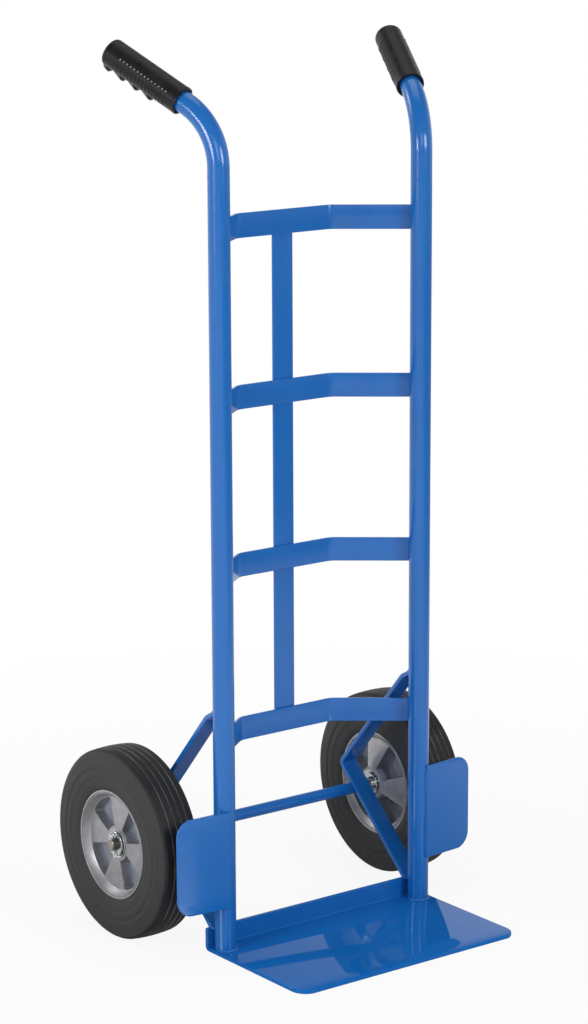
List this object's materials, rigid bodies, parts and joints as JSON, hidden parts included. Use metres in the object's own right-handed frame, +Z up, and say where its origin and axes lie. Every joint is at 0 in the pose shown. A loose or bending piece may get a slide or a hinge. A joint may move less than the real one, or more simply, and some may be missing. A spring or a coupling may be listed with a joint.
{
  "type": "hand truck",
  "caption": "Upright hand truck with a welded tube frame, bowed strap rungs, folded toe plate, wheel guards, bent-bar axle brackets, ball-bearing wheels and splayed hand grips.",
  "frame": {"origin": "middle of the footprint on the floor: midway between the toe plate's front edge and the backs of the tyres, and between the wheels", "axes": "+Z up along the uprights, +Y back from the toe plate to the wheels and handles, +X along the axle to the right of someone facing the frame from the toe plate"},
  "size_m": [0.498, 0.449, 1.1641],
  "materials": {
    "frame_paint": "gloss powder coat",
    "grip_rubber": "moulded, pebbled",
    "tyre_rubber": "matt solid rubber",
    "hub_alloy": "satin casting",
    "zinc_steel": "bright zinc plate",
    "ball_steel": "polished",
    "axle_steel": "bright drawn rod"
  },
  "bodies": {
    "frame": {"axle": "axle_steel", "centre_strap": "frame_paint", "toe_plate": "frame_paint", "lower_rung": "frame_paint", "second_rung": "frame_paint", "third_rung": "frame_paint", "upper_rung": "frame_paint", "left_upright": "frame_paint", "left_grip": "grip_rubber", "left_wheel_guard": "frame_paint", "left_axle_bracket": "frame_paint", "left_axle_spacer": "zinc_steel", "left_inner_washer": "zinc_steel", "left_outer_washer": "zinc_steel", "left_split_pin": "zinc_steel", "left_inner_bearing_sleeve": "zinc_steel", "left_outer_bearing_sleeve": "zinc_steel", "right_upright": "frame_paint", "right_grip": "grip_rubber", "right_wheel_guard": "frame_paint", "right_axle_bracket": "frame_paint", "right_axle_spacer": "zinc_steel", "right_inner_washer": "zinc_steel", "right_outer_washer": "zinc_steel", "right_split_pin": "zinc_steel", "right_inner_bearing_sleeve": "zinc_steel", "right_outer_bearing_sleeve": "zinc_steel"},
    "left_wheel": {"left_hub": "hub_alloy", "left_tyre": "tyre_rubber", "left_inner_bearing_cup": "zinc_steel", "left_outer_bearing_cup": "zinc_steel"},
    "right_wheel": {"right_hub": "hub_alloy", "right_tyre": "tyre_rubber", "right_inner_bearing_cup": "zinc_steel", "right_outer_bearing_cup": "zinc_steel"},
    "left_balls": {"left_inner_bearing_balls": "ball_steel", "left_outer_bearing_balls": "ball_steel"},
    "right_balls": {"right_inner_bearing_balls": "ball_steel", "right_outer_bearing_balls": "ball_steel"}
  },
  "joints": [
    {"name": "left_wheel_spin", "type": "hinge", "parent": "frame", "child": "left_wheel", "pos_m": [-0.2185, 0.0975, 0.127], "axis": [1, 0, 0], "continuous": true},
    {"name": "left_ball_roll", "type": "hinge", "parent": "frame", "child": "left_balls", "pos_m": [-0.2185, 0.0975, 0.127], "axis": [1, 0, 0], "continuous": true},
    {"name": "right_wheel_spin", "type": "hinge", "parent": "frame", "child": "right_wheel", "pos_m": [0.2185, 0.0975, 0.127], "axis": [1, 0, 0], "continuous": true},
    {"name": "right_ball_roll", "type": "hinge", "parent": "frame", "child": "right_balls", "pos_m": [0.2185, 0.0975, 0.127], "axis": [1, 0, 0], "continuous": true}
  ],
  "couplings": [
    {"joint": "left_ball_roll", "follows": "left_wheel_spin", "ratio": 0.6205},
    {"joint": "right_ball_roll", "follows": "right_wheel_spin", "ratio": 0.6205}
  ]
}
